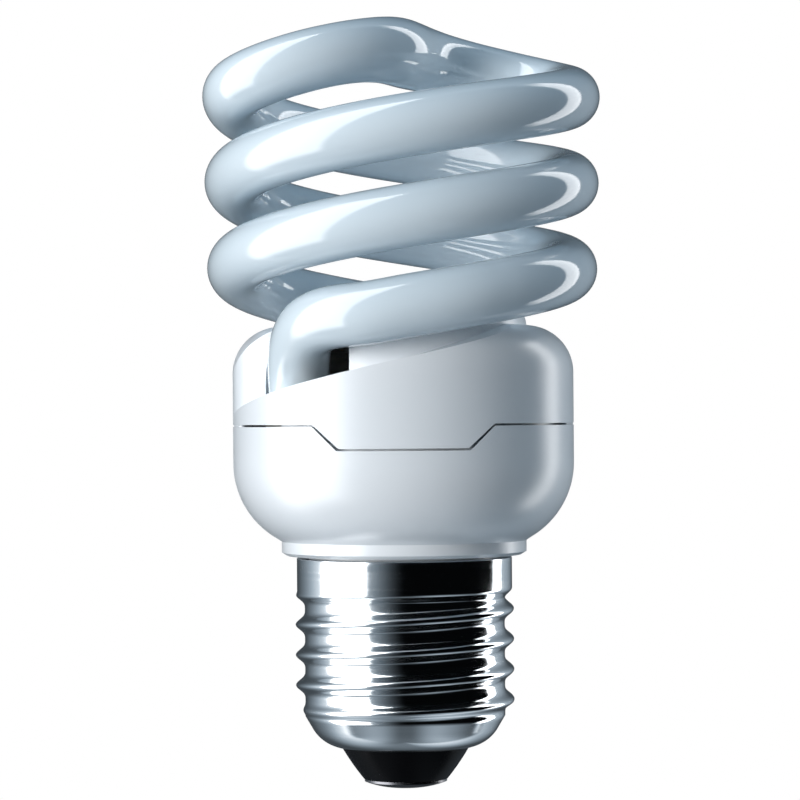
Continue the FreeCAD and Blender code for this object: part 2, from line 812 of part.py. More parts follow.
def make_storage_capacitor():
    top = "board_height - part_standoff"
    can = turned("storage_can", [
        ("0", top + " - storage_capacitor_length"),
        ("storage_capacitor_radius - 0.4", top + " - storage_capacitor_length", "0.4"),
        ("storage_capacitor_radius", top + " - storage_capacitor_length + 0.4"),
        ("storage_capacitor_radius", top + " - 2.4"),
        ("storage_capacitor_radius - 0.35", top + " - 2.0"),
        ("storage_capacitor_radius", top + " - 1.6"),
        ("storage_capacitor_radius", top + " - 0.3"),
        ("storage_capacitor_radius - 0.3", top),
        ("0", top),
    ])
    can.Placement = Placement(Vector(-size("storage_capacitor_place"), 0, 0), Rotation())
    legs = []
    for side in (-1, 1):
        leg = cylinder("storage_leg_%d" % side, "lead_radius", "part_standoff + 0.2")
        leg.Placement = Placement(Vector(-size("storage_capacitor_place"), side * 1.75, number(top) - 0.2), Rotation())
        legs.append(leg)
    return fuse("storage_capacitor", [can] + legs)


def make_choke():
    """A double E core, its bobbin and the winding on it."""
    wide, deep, tall = "choke_width", "choke_depth", "choke_height"
    low = "board_height - part_standoff - bobbin_flange - choke_height"
    left = "choke_place - choke_width / 2"
    outer = block("core_outer", wide, deep, tall, left, "0 - choke_depth / 2", low)
    rooms = []
    half = "choke_width / 2 - choke_leg * 3 / 4 - choke_leg / 2"
    for side, start in (("left", left + " + choke_leg / 2"), ("right", "choke_place + choke_leg * 3 / 4")):
        rooms.append(block("core_room_" + side, half, deep + " + 2", tall + " - choke_leg",
                           start, "0 - choke_depth / 2 - 1", low + " + choke_leg / 2"))
    core = cut("choke_core", outer, fuse("core_rooms", rooms))
    gap = "bobbin_hole_gap"
    bottom = low + " + choke_leg / 2 + bobbin_hole_gap"
    height = tall + " - choke_leg - bobbin_hole_gap * 2"
    inner_x = "choke_leg * 3 / 4 + bobbin_hole_gap"
    barrel = block("bobbin_barrel", "choke_leg * 3 / 2 + bobbin_flange + bobbin_hole_gap * 2",
                   deep + " + bobbin_flange + bobbin_hole_gap * 2", height,
                   "choke_place - choke_leg * 3 / 4 - bobbin_flange / 2 - bobbin_hole_gap",
                   "0 - choke_depth / 2 - bobbin_flange / 2 - bobbin_hole_gap", bottom)
    flanges = []
    side_x = "choke_width - choke_leg - bobbin_hole_gap * 2"
    for label, z in (("low", bottom), ("high", bottom + " + choke_height - choke_leg - bobbin_hole_gap * 2 - bobbin_flange")):
        flanges.append(block("bobbin_flange_" + label, side_x, "bobbin_side + 1.4", "bobbin_flange",
                             left + " + choke_leg / 2 + bobbin_hole_gap", "0 - bobbin_side / 2 - 0.7", z))
    hole = block("bobbin_hole", "choke_leg * 3 / 2 + bobbin_hole_gap * 2", deep + " + bobbin_hole_gap * 2", tall,
                 "choke_place - choke_leg * 3 / 4 - bobbin_hole_gap", "0 - choke_depth / 2 - bobbin_hole_gap", low)
    bobbin = cut("choke_bobbin", fuse("bobbin_form", [barrel] + flanges), hole)
    wind_low = bottom + " + bobbin_flange + lead_gap"
    wind_high = "choke_height - choke_leg - bobbin_hole_gap * 2 - bobbin_flange * 2 - lead_gap * 2"
    coil = block("winding_form", side_x + " - 0.3", "bobbin_side", wind_high,
                 left + " + choke_leg / 2 + bobbin_hole_gap + 0.15", "0 - bobbin_side / 2", wind_low)
    bore = block("winding_bore", "choke_leg * 3 / 2 + bobbin_flange + bobbin_hole_gap * 2 + lead_gap * 2",
                 deep + " + bobbin_flange + bobbin_hole_gap * 2 + lead_gap * 2", tall,
                 "choke_place - choke_leg * 3 / 4 - bobbin_flange / 2 - bobbin_hole_gap - lead_gap",
                 "0 - choke_depth / 2 - bobbin_flange / 2 - bobbin_hole_gap - lead_gap", low)
    winding = cut("choke_winding", coil, bore)
    return core, bobbin, winding


def hung(thing, x, y, drop, turn=0, tip=0):
    """Hang a part under the board at a plan position, its base drop below the seat."""
    seat = size("board_height") - size("part_standoff") - drop
    spin = Rotation(Vector(0, 0, 1), turn) * Rotation(Vector(0, 1, 0), tip)
    thing.Placement = Placement(Vector(x, y, seat), spin)
    return thing


def make_small_parts():
    ring = cylinder("drive_form", "drive_ring_radius", "drive_ring_height")
    hole = cylinder("drive_bore", "drive_ring_bore", "drive_ring_height + 2")
    hole.Placement = Placement(Vector(0, 0, -1), Rotation())
    drive = hung(cut("drive_ring", ring, hole), -3.2, 11.2, size("drive_ring_height"))
    switches = []
    for i, (x, y, turn) in enumerate(((4.0, 8.0, 20), (-11.6, 7.4, -40))):
        box = block("transistor_%d" % i, "transistor_width", "transistor_depth", "transistor_width")
        switches.append(hung(box, x, y, size("transistor_width"), turn))
    films = []
    for i, (x, y, turn) in enumerate(((-4.6, -11.0, 0), (4.2, -12.2, 25))):
        box = block("film_%d" % i, "film_length", "film_width", "film_height")
        films.append(hung(box, x, y, size("film_height"), turn))
    disc = cylinder("ceramic_capacitor", "disc_radius", "disc_thickness")
    hung(disc, -8.2, -8.5, size("disc_radius"), 226, 90)
    diodes = []
    for i, (x, y) in enumerate(((13.2, -5.0), (13.2, 0.4), (-13.4, -4.5), (-13.4, 0.5))):
        body = cylinder("diode_%d" % i, "diode_radius", "diode_length")
        diodes.append(hung(body, x, y, size("diode_radius"), 90, 90))
    resistors = []
    for i, (x, y) in enumerate(((-1.5, 6.4), (9.6, 7.4), (-2.8, -6.4), (3.4, -6.0))):
        body = cylinder("resistor_%d" % i, "resistor_radius", "resistor_length")
        resistors.append(hung(body, x, y, size("resistor_radius"), 0, 90))
    return [drive, group("transistors", switches), group("film_capacitors", films), disc,
            group("rectifier_diodes", diodes), group("resistors", resistors)]


def make_drum():
    """The input choke, a small drum of ferrite that stands on the board."""
    low = "board_height + board_thickness"
    return turned("input_choke", [
        ("0", low),
        ("drum_radius", low),
        ("drum_radius", low + " + drum_height / 5"),
        ("drum_core_radius", low + " + drum_height / 5"),
        ("drum_core_radius", low + " + drum_height * 4 / 5"),
        ("drum_radius", low + " + drum_height * 4 / 5"),
        ("drum_radius", low + " + drum_height"),
        ("0", low + " + drum_height"),
    ])


def make_fuse_and_leads():
    """The resistor in the neck, the lead to the centre contact and the lead to the shell."""
    fuse_body = cylinder("fuse_resistor", "fuse_radius", "fuse_length", z="fuse_height")
    low = size("fuse_height")
    top = low + size("fuse_length")
    seat = size("board_height") - 0.05
    stub = cylinder("centre_stub", "lead_radius", "fuse_height - contact_height - 0.1", z="contact_height + 0.1")
    rise = [Vector(0, 0, top), Vector(0, 0, top + 1.2), Vector(2.0, -6.0, top + 5.0), Vector(2.0, -6.0, seat)]
    centre = group("centre_lead", [stub, bent_wire("centre_riser", rise)])
    edge = size("thread_crest_radius") - size("thread_depth") - size("cap_wall")
    bend = size("neck_bottom") - 1.0
    side = [Vector(2.6, 6.0, seat), Vector(2.6, 6.0, bend + 9.5), Vector(3.1, 7.6, bend + 3.5)]
    side += [polar(edge - 2.4, 68, bend + 0.9), polar(edge - 1.2, 68, bend), polar(edge - 0.2, 68, bend - 0.3)]
    return fuse_body, centre, bent_wire("side_lead", side)


tube = make_tube()
cover = make_cover()
housing = make_housing()
shell = make_cap()
insulator = make_insulator()
contact = make_contact()
board = make_board()
pins = make_pins()
tube_leads = make_tube_leads()
cement = make_cement()
storage = make_storage_capacitor()
core, bobbin, winding = make_choke()
small = make_small_parts()
drum = make_drum()
fuse_body, centre_lead, side_lead = make_fuse_and_leads()
doc.recompute()

nodes = [tube, cover, housing, shell, insulator, contact, board, pins, tube_leads, cement]
nodes += [storage, core, bobbin, winding, drum, fuse_body, centre_lead, side_lead] + small

for thing in doc.Objects:
    if "Invalid" in thing.State or "Error" in thing.State:
        raise RuntimeError("%s did not compute: %s" % (thing.Name, thing.State))
os.makedirs("parts", exist_ok=True)
for node in nodes:
    shape = node.Shape
    if shape.isNull() or not shape.isValid() or not shape.Solids:
        raise RuntimeError("%s has no valid solid" % node.Name)
    node.Label = node.Name
    shape.exportStep("parts/%s.step" % node.Label)
    print(node.Label, len(shape.Solids), round(shape.Volume, 1), [round(v, 2) for v in (shape.BoundBox.XMin, shape.BoundBox.XMax, shape.BoundBox.YMin, shape.BoundBox.YMax, shape.BoundBox.ZMin, shape.BoundBox.ZMax)])
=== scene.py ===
import json
import math

import bpy
import numpy as np
from mathutils import Matrix, Vector


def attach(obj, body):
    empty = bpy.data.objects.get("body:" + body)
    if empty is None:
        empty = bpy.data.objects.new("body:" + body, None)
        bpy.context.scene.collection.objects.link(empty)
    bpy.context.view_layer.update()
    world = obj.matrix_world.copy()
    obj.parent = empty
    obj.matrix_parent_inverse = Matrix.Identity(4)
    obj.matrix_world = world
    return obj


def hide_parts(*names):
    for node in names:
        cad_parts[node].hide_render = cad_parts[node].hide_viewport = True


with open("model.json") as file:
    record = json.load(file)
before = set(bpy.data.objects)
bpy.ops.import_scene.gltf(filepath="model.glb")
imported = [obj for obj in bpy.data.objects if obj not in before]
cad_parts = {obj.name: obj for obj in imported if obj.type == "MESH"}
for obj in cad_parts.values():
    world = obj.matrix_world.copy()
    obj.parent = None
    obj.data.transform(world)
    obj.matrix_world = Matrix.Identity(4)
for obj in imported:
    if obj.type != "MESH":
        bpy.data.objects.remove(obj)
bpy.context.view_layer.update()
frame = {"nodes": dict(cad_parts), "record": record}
nodes = frame["nodes"]
scene = bpy.context.scene
scene.view_settings.view_transform = "Standard"

# Camera: level, in front of the bulb's axis and turned a little about its own axis. Its place is
# in metres, its sensor in millimetres, and its focal length and the axis are in pixels.
CAMERA_AWAY = 0.393
CAMERA_HEIGHT = 0.04467
CAMERA_ROLL = math.radians(0.42)
FOCAL_PIXELS = 3269.8
PICTURE = 800.0
AXIS_PIXEL_X = 403.3
AXIS_PIXEL_Y = 415.0
SENSOR = 36.0

# Lamps that light the matt colours. Each has its direction in degrees, round from the viewer's
# side with the right as positive and then up, its strength, its spread in degrees and its colour.
LAMPS = {
    "left_lamp": (-47, 5, 3.2, 34, (1.0, 1.0, 1.0)),
    "right_lamp": (118, 5, 1.25, 30, (0.92, 0.96, 1.0)),
}

# Fill that reaches the matt colours from all round, and more from above and below. A pair is
# where a light starts and where it is full, in degrees up.
FILL_COLOUR = (0.48, 0.76, 1.0, 1)
FILL = 0.045
FROM_ABOVE = 0.78
ABOVE_RISE = (15, 90)
FROM_BELOW = 0.5
BELOW_RISE = (-15, -90)

# Studio that mirrored rays see, in degrees round and up. Four numbers are where a light starts,
# is full, is still full and ends, and a pair is where it starts and is full. The sides of the box
# and the strip lean by LEAN degrees for each degree up, and GROUND_SIDES counts how far a
# direction points sideways, from 0 to 1.
BOX_LEVEL = 4.2
BOX_SIDES = (-103, -93, -46, -38)
BOX_FOOT = (-50, -31)
LEAN = 0.12
STRIP_LEVEL = 3.9
STRIP_SIDES = (108.5, 111.5, 124.5, 127.5)
STRIP_ENDS = (-42, -30, 46, 60)
SPILL_LEVEL = 1.1
SPILL_START = (0, -60)
SPILL_END = (-104, -93)
LEFT_WALL_LEVEL = 1.2
LEFT_WALL_START = (-165, -98)
LEFT_WALL_END = (-92, -104)
LEFT_WALL_FOOT = (-80, -40)
RIGHT_WALL_LEVEL = 0.6
RIGHT_WALL_START = (118, 130)
RIGHT_WALL_END = (165, 130)
GROUND_LEVEL = 0.6
GROUND_RISE = (-30, -80)
GROUND_SIDES = (0.05, 0.5)
GROUND_MIDDLE = 0.3
BEHIND_LEVEL = 0.08
BEHIND_SIDES = (120, 150)
DARKEST = 0.002
DIM_TINT = (0.72, 0.87, 1.0, 1)
BRIGHT_TINT = (0.98, 0.99, 1.0, 1)
TINT_LEVELS = (0.2, 1.8)

FLOOR_HALF = 0.3
FLOOR_HEIGHT = -0.35


def make_camera():
    data = bpy.data.cameras.new("camera")
    data.sensor_width = SENSOR
    data.lens = FOCAL_PIXELS / PICTURE * SENSOR
    data.shift_x = (PICTURE / 2 - AXIS_PIXEL_X) / PICTURE
    data.shift_y = (AXIS_PIXEL_Y - PICTURE / 2) / PICTURE
    data.clip_start = 0.01
    data.clip_end = 50.0
    camera = bpy.data.objects.new("camera", data)
    scene.collection.objects.link(camera)
    turn = Matrix.Rotation(math.radians(90), 4, "X") @ Matrix.Rotation(-CAMERA_ROLL, 4, "Z")
    camera.matrix_world = Matrix.Translation((0, -CAMERA_AWAY, CAMERA_HEIGHT)) @ turn
    scene.camera = camera


class Nodes:
    """A node tree with short calls for the nodes that the materials use."""

    def __init__(self, tree):
        self.tree = tree
        self.tree.nodes.clear()

    def add(self, kind, **values):
        node = self.tree.nodes.new(kind)
        for key, value in values.items():
            setattr(node, key, value)
        return node

    def put(self, socket, value):
        if isinstance(value, bpy.types.NodeSocket):
            self.tree.links.new(value, socket)
        else:
            socket.default_value = value

    def math(self, operation, first, second=0.0):
        node = self.add("ShaderNodeMath", operation=operation)
        self.put(node.inputs[0], first)
        self.put(node.inputs[1], second)
        return node.outputs[0]

    def times(self, first, *others):
        for other in others:
            first = self.math("MULTIPLY", first, other)
        return first

    def plus(self, first, *others):
        for other in others:
            first = self.math("ADD", first, other)
        return first

    def ramp(self, value, low, high, smooth=True):
        """0 at low and beyond it, 1 at high and beyond it."""
        node = self.add("ShaderNodeMapRange")
        node.interpolation_type = "SMOOTHSTEP" if smooth else "LINEAR"
        self.put(node.inputs["Value"], value)
        self.put(node.inputs["From Min"], low)
        self.put(node.inputs["From Max"], high)
        return node.outputs["Result"]

    def window(self, value, edges):
        """1 between the two inner edges, 0 outside the two outer ones."""
        rise = self.ramp(value, edges[0], edges[1])
        fall = self.ramp(value, edges[3], edges[2])
        return self.times(rise, fall)

    def mix(self, share, first, second):
        node = self.add("ShaderNodeMix", data_type="RGBA")
        self.put(node.inputs[0], share)
        self.put(node.inputs[6], first)
        self.put(node.inputs[7], second)
        return node.outputs[2]

    def mix_shaders(self, share, first, second):
        node = self.add("ShaderNodeMixShader")
        self.put(node.inputs[0], share)
        self.put(node.inputs[1], first)
        self.put(node.inputs[2], second)
        return node.outputs[0]

    def background(self, colour, strength):
        node = self.add("ShaderNodeBackground")
        self.put(node.inputs["Color"], colour)
        self.put(node.inputs["Strength"], strength)
        return node.outputs[0]

    def place(self):
        return self.add("ShaderNodeTexCoord").outputs["Object"]

    def noise(self, where, scale, detail=2.0):
        node = self.add("ShaderNodeTexNoise")
        self.put(node.inputs["Vector"], where)
        self.put(node.inputs["Scale"], scale)
        self.put(node.inputs["Detail"], detail)
        return node.outputs["Fac"]

    def stretched(self, where, scale):
        node = self.add("ShaderNodeMapping")
        self.put(node.inputs["Vector"], where)
        node.inputs["Scale"].default_value = scale
        return node.outputs["Vector"]

    def bump(self, height, distance):
        node = self.add("ShaderNodeBump")
        self.put(node.inputs["Height"], height)
        node.inputs["Distance"].default_value = distance
        node.inputs["Strength"].default_value = 1.0
        return node.outputs["Normal"]


def studio_level(n, x, turn, rise):
    """How bright the studio is in a direction: a soft box at the left with its spill, a tall
    strip at the right, pale walls at both sides, pale ground, and a little light behind."""
    leaned = n.math("SUBTRACT", turn, n.times(rise, LEAN))
    upper = n.ramp(rise, *BOX_FOOT)
    box = n.times(n.window(leaned, BOX_SIDES), upper)
    strip = n.times(n.window(leaned, STRIP_SIDES), n.window(rise, STRIP_ENDS))
    spill = n.math("POWER", n.ramp(turn, *SPILL_START, smooth=False), 2.0)
    spill = n.times(spill, upper, n.ramp(turn, *SPILL_END))
    left_wall = n.math("POWER", n.ramp(turn, *LEFT_WALL_START, smooth=False), 2.0)
    left_wall = n.times(left_wall, n.ramp(turn, *LEFT_WALL_END), n.ramp(rise, *LEFT_WALL_FOOT))
    right_wall = n.ramp(turn, *RIGHT_WALL_START)
    right_wall = n.times(right_wall, n.ramp(turn, *RIGHT_WALL_END, smooth=False))
    ground_side = n.ramp(n.math("ABSOLUTE", x), *GROUND_SIDES)
    ground = n.times(n.ramp(rise, *GROUND_RISE), n.plus(ground_side, GROUND_MIDDLE))
    behind = n.ramp(n.math("ABSOLUTE", turn), *BEHIND_SIDES)
    return n.plus(
        n.times(box, BOX_LEVEL),
        n.times(strip, STRIP_LEVEL),
        n.times(spill, SPILL_LEVEL),
        n.times(left_wall, LEFT_WALL_LEVEL),
        n.times(right_wall, RIGHT_WALL_LEVEL),
        n.times(ground, GROUND_LEVEL),
        n.times(behind, BEHIND_LEVEL),
        DARKEST,
    )


def make_world():
    """White for the camera, the studio for mirrored rays and the dim fill for all other rays."""
    world = bpy.data.worlds.new("studio")
    scene.world = world
    world.use_nodes = True
    n = Nodes(world.node_tree)
    parts = n.add("ShaderNodeSeparateXYZ")
    n.put(parts.inputs[0], n.add("ShaderNodeTexCoord").outputs["Generated"])
    x, y, z = parts.outputs
    turn = n.times(n.math("ARCTAN2", x, n.times(y, -1.0)), 180 / math.pi)
    rise = n.times(n.math("ARCSINE", z), 180 / math.pi)
    level = studio_level(n, x, turn, rise)
    tint = n.mix(n.ramp(level, *TINT_LEVELS), DIM_TINT, BRIGHT_TINT)
    above = n.times(n.ramp(rise, *ABOVE_RISE), FROM_ABOVE)
    below = n.times(n.ramp(rise, *BELOW_RISE), FROM_BELOW)
    fill = n.background(FILL_COLOUR, n.plus(above, below, FILL))
    ray = n.add("ShaderNodeLightPath")
    unseen = n.mix_shaders(ray.outputs["Is Glossy Ray"], fill, n.background(tint, level))
    white = n.background((1, 1, 1, 1), 1.0)
    out = n.add("ShaderNodeOutputWorld")
    n.put(out.inputs[0], n.mix_shaders(ray.outputs["Is Camera Ray"], unseen, white))


def make_lamp(name, turn, rise, strength, spread, colour):
    """A soft lamp that lights matt colours and isn't seen in mirrored rays."""
    data = bpy.data.lights.new(name, "SUN")
    data.energy = strength
    data.angle = math.radians(spread)
    data.color = colour
    lamp = bpy.data.objects.new(name, data)
    a, e = math.radians(turn), math.radians(rise)
    source = Vector((math.sin(a) * math.cos(e), -math.cos(a) * math.cos(e), math.sin(e)))
    lamp.rotation_mode = "QUATERNION"
    lamp.rotation_quaternion = source.to_track_quat("Z", "Y")
    lamp.visible_glossy = False
    scene.collection.objects.link(lamp)


def material(name, build):
    """A material with one principled shader, which build dresses."""
    made = bpy.data.materials.new(name)
    made.use_nodes = True
    n = Nodes(made.node_tree)
    shader = n.add("ShaderNodeBsdfPrincipled")
    out = n.add("ShaderNodeOutputMaterial")
    n.put(out.inputs["Surface"], shader.outputs[0])
    build(n, shader)
    return made


def coated_glass(n, shader):
    """Clear glass over a white powder coat, which is a little cloudy where the coat is thin."""
    where = n.place()
    cloud = n.noise(where, scale=140.0, detail=3.0)
    tint = n.mix(cloud, (0.69, 0.785, 0.85, 1), (0.73, 0.82, 0.875, 1))
    n.put(shader.inputs["Base Color"], tint)
    shader.inputs["Roughness"].default_value = 0.07
    shader.inputs["IOR"].default_value = 1.52
    shader.inputs["Coat Weight"].default_value = 0.45
    shader.inputs["Coat Roughness"].default_value = 0.07
    waves = n.noise(where, scale=60.0, detail=1.0)
    n.put(shader.inputs["Normal"], n.bump(waves, distance=0.00002))


def white_plastic(n, shader):
    """Glossy moulded plastic, with the faint flow marks and fine grain of the mould."""
    where = n.place()
    cloud = n.noise(n.stretched(where, (60.0, 60.0, 110.0)), scale=1.0, detail=3.0)
    tint = n.mix(cloud, (0.805, 0.84, 0.87, 1), (0.825, 0.855, 0.885, 1))
    n.put(shader.inputs["Base Color"], tint)
    grain = n.noise(where, scale=700.0, detail=3.0)
    # The ramp makes a roughness of about 0.29 to 0.35.
    n.put(shader.inputs["Roughness"], n.ramp(grain, -5.0, 12.0, smooth=False))
    shader.inputs["IOR"].default_value = 1.5
    shader.inputs["Coat Weight"].default_value = 0.8
    shader.inputs["Coat Roughness"].default_value = 0.27
    n.put(shader.inputs["Normal"], n.bump(n.noise(where, scale=2500.0), distance=0.000004))


def nickel(n, shader):
    """Bright nickel plate, with the fine streaks of the rolled sheet round the cap."""
    streak = n.noise(n.stretched(n.place(), (60.0, 60.0, 2400.0)), scale=1.0, detail=4.0)
    tint = n.mix(streak, (0.70, 0.73, 0.75, 1), (0.80, 0.81, 0.82, 1))
    n.put(shader.inputs["Base Color"], tint)
    shader.inputs["Metallic"].default_value = 1.0
    # The ramp makes a roughness of up to 0.22.
    n.put(shader.inputs["Roughness"], n.ramp(streak, 0.0, 4.6, smooth=False))
    n.put(shader.inputs["Normal"], n.bump(streak, distance=0.000002))


def black_glass(n, shader):
    """Opaque black glass, smooth, with the odd faint cord in the melt."""
    where = n.place()
    cloud = n.noise(where, scale=220.0, detail=3.0)
    tint = n.mix(cloud, (0.002, 0.002, 0.0025, 1), (0.004, 0.004, 0.0045, 1))
    n.put(shader.inputs["Base Color"], tint)
    shader.inputs["Roughness"].default_value = 0.22
    shader.inputs["Specular IOR Level"].default_value = 0.04
    cords = n.noise(n.stretched(where, (150.0, 150.0, 900.0)), scale=1.0)
    n.put(shader.inputs["Normal"], n.bump(cords, distance=0.00001))


def plain(low, high, roughness, metallic=0.0, scale=300.0, depth=0.00001):
    """A finish with fine clouds between two close colours and a grain four times as fine."""

    def build(n, shader):
        where = n.place()
        cloud = n.noise(where, scale, detail=4.0)
        n.put(shader.inputs["Base Color"], n.mix(cloud, (*low, 1), (*high, 1)))
        shader.inputs["Roughness"].default_value = roughness
        shader.inputs["Metallic"].default_value = metallic
        n.put(shader.inputs["Normal"], n.bump(n.noise(where, scale * 4), depth))

    return build


def floor_paint(n, shader):
    """Pale paint that the camera sees as plain white."""
    plain((0.80, 0.81, 0.82), (0.84, 0.85, 0.86), 0.7, scale=4.0)(n, shader)
    out = shader.outputs[0].links[0].to_node
    white = n.add("ShaderNodeEmission").outputs[0]
    seen = n.add("ShaderNodeLightPath").outputs["Is Camera Ray"]
    n.put(out.inputs["Surface"], n.mix_shaders(seen, shader.outputs[0], white))


FINISHES = {
    "coated_glass": coated_glass,
    "white_plastic": white_plastic,
    "nickel_shell": nickel,
    "black_glass": black_glass,
    # Solder is much brighter than this. The contact's near-black colour is painted shade,
    # standing in for the dark surroundings that its metal mirrors.
    "solder_metal": plain(
        (0.10, 0.10, 0.11), (0.20, 0.20, 0.21), 0.32, metallic=1.0, scale=500.0
    ),
    "board_laminate": plain((0.36, 0.24, 0.10), (0.48, 0.33, 0.15), 0.6),
    "tinned_wire": plain((0.55, 0.55, 0.56), (0.68, 0.68, 0.69), 0.3, metallic=1.0, scale=900.0),
    "cement": plain((0.66, 0.65, 0.60), (0.80, 0.79, 0.75), 0.85, scale=500.0, depth=0.00006),
    "capacitor_sleeve": plain((0.015, 0.017, 0.025), (0.03, 0.033, 0.045), 0.35),
    "ferrite": plain((0.05, 0.05, 0.055), (0.09, 0.09, 0.095), 0.7, scale=900.0, depth=0.00003),
    "bobbin_plastic": plain((0.03, 0.03, 0.03), (0.06, 0.06, 0.06), 0.5),
    "copper_winding": plain(
        (0.45, 0.16, 0.05), (0.62, 0.26, 0.10), 0.35, metallic=1.0, scale=900.0, depth=0.00004
    ),
    "component_body": plain((0.36, 0.26, 0.15), (0.46, 0.35, 0.22), 0.45),
    "black_resin": plain((0.012, 0.012, 0.013), (0.03, 0.03, 0.032), 0.5, scale=900.0),
    "film_body": plain((0.42, 0.07, 0.03), (0.52, 0.12, 0.06), 0.25),
}


def dress():
    """Gives each CAD node the finish that its record names."""
    made = {name: material(name, build) for name, build in FINISHES.items()}
    for part in frame["record"]["subparts"]:
        node = nodes[part["node"]]
        node.data.materials.clear()
        node.data.materials.append(made[part["material_slot"]])
        node.data.shade_smooth()
    return made


# From here on sizes are in millimetres.
MM = 0.001

# Glass tube: the same coil and legs as the solid, with a wider, smoother bend across the crown,
# where the tube swells a little.
TUBE_RADIUS = 3.65
CROWN_RADIUS = 4.14
CROWN_SWELL = 7.0
COIL_RADIUS = 20.25
COIL_TAPER = 0.5
COIL_PITCH = 20.6
COIL_TURN = 462.0
COIL_TOP = 82.8
CROWN_HEIGHT = 88.21
CROWN_START = 10.8
CROWN_FIRST_PULL = 20.6
CROWN_LAST_PULL = 39.7
CROWN_WAY = 70.0
CROWN_LEAN = -1.2
CROWN_LEAN_START = COIL_TOP - 0.3
CROWN_LEAN_RISE = 5.5
SMOOTH_START = 79.0
SMOOTH_RISE = 4.0
SMOOTH_SPREAD = 6.0
SMOOTH_REACH = 24
LEG_CIRCLE = 13.6
LEG_ANGLE = 213.0
LEG_FOOT = 42.0
# The leg's lower point: share of the way out to the coil, degrees ahead and share of the way up.
LEG_MIDDLE = (0.04, 0.4, 0.45)
# Its bend onto the coil: share of the way out, degrees ahead, and drop below the coil's end.
LEG_BEND = (
    (0.13, 1.2, 10.9),
    (0.263, 3.7, 7.4),
    (0.452, 9.6, 4.1),
    (0.702, 19.9, 1.5),
    (0.894, 31.2, 0.44),
)
# The bend's curve goes on through points of the coil, in degrees, before the coil takes over.
LEAD_POINTS = 5
LEAD_STEP = 12
LEAD_END = 50
CURVE_POINTS = 24
CROWN_POINTS = 160
STEP = 0.25
STEPS_PER_RING = 3
GLASS_AROUND = 56
UPRIGHT = 0.3

# Screw cap: the same sheet as the solid, with the narrow round crests and wide valleys of a
# pressed thread.
CREST_RADIUS = 13.12
THREAD_DEPTH = 1.12
THREAD_PITCH = 3.629
ROOT_RADIUS = CREST_RADIUS - THREAD_DEPTH
CREST_POWER = 1.9
CAP_WALL = 0.3
FOOT_RADIUS = 8.0
FOOT_HEIGHT = 4.9
FOOT_ARC = 4.6
FOOT_LIFT = 0.15
FOOT_LIFT_END = 7.0
FOOT_LIP = 0.05
FOOT_ARC_POINTS = 13
FOOT_CONE_POINTS = 6
KNEE_RADIUS = 11.0
KNEE_HEIGHT = FOOT_HEIGHT + 2.0
CURVE_HEIGHT = KNEE_HEIGHT + 1.7
THREAD_PHASE = CURVE_HEIGHT + 5.55
THREAD_RUN_IN = 1.7
THREAD_RUN_OUT = 1.3
BARREL_BOTTOM = CURVE_HEIGHT + 15.3
BARREL_RADIUS = CREST_RADIUS - 0.2
CAP_TOP = BARREL_BOTTOM + 3.7
BARREL_FIRST_ROW = BARREL_BOTTOM + 0.7
BARREL_LAST_ROW = CAP_TOP - 0.6
BARREL_ROWS = 4
RIM_EASE = 0.1
RIM_HALFWAY = 0.3 * RIM_EASE
CAP_AROUND = 168
THREAD_ROWS = 130

# Parting line of the housing, and the cover's inner edge in it.
PARTING_HEIGHT = 43.5
EDGE_INSIDE = 19.4
EDGE_OUTSIDE = 20.1
EDGE_SWELL = 0.25
EDGE_SWELL_POWER = 16
EDGE_HALF = 0.14
EDGE_EASE_IN = 0.06
EDGE_EASE_UP = 0.04
EDGE_FIRST = -18
EDGE_LAST = 198
EDGE_STEP = 2.0


def polar(radius, degrees, height):
    """A point, or many, round the bulb's axis."""
    angle = np.radians(degrees)
    return np.stack([radius * np.cos(angle), radius * np.sin(angle), height + 0 * angle], -1)


def eased(value):
    """0 below 0, 1 above 1, and a smooth rise between them."""
    value = np.clip(value, 0, 1)
    return value * value * (3 - 2 * value)


def strand(degrees):
    """Points of the first strand, counted in degrees from its upper right side."""
    degrees = np.asarray(degrees, float)
    radius = COIL_RADIUS - COIL_TAPER * np.clip(-degrees / 360, 0, 1)
    return polar(radius, degrees, COIL_TOP + COIL_PITCH * degrees / 360)


def evenly(points):
    """The same line with its points one step apart."""
    along = np.r_[0, np.cumsum(np.linalg.norm(np.diff(points, axis=0), axis=1))]
    spots = np.linspace(0, along[-1], int(along[-1] / STEP))
    return np.stack([np.interp(spots, along, points[:, i]) for i in range(3)], -1)


def through(points):
    """A natural cubic curve through the points, sampled finely."""
    gaps = np.linalg.norm(np.diff(points, axis=0), axis=1)
    slopes = np.diff(points, axis=0) / gaps[:, None]
    count = len(points)
    system = np.eye(count)
    right = np.zeros((count, 3))
    for i in range(1, count - 1):
        system[i, i - 1 : i + 2] = gaps[i - 1], 2 * (gaps[i - 1] + gaps[i]), gaps[i]
        right[i] = 6 * (slopes[i] - slopes[i - 1])
    bend = np.linalg.solve(system, right)
    out = []
    for i, gap in enumerate(gaps):
        u = np.linspace(0, gap, CURVE_POINTS, endpoint=False)[:, None]
        rest = gap - u
        curve = (bend[i] * rest**3 + bend[i + 1] * u**3) / (6 * gap)
        curve += (points[i] / gap - bend[i] * gap / 6) * rest
        curve += (points[i + 1] / gap - bend[i + 1] * gap / 6) * u
        out.append(curve)
    return np.vstack(out + [points[-1:]])


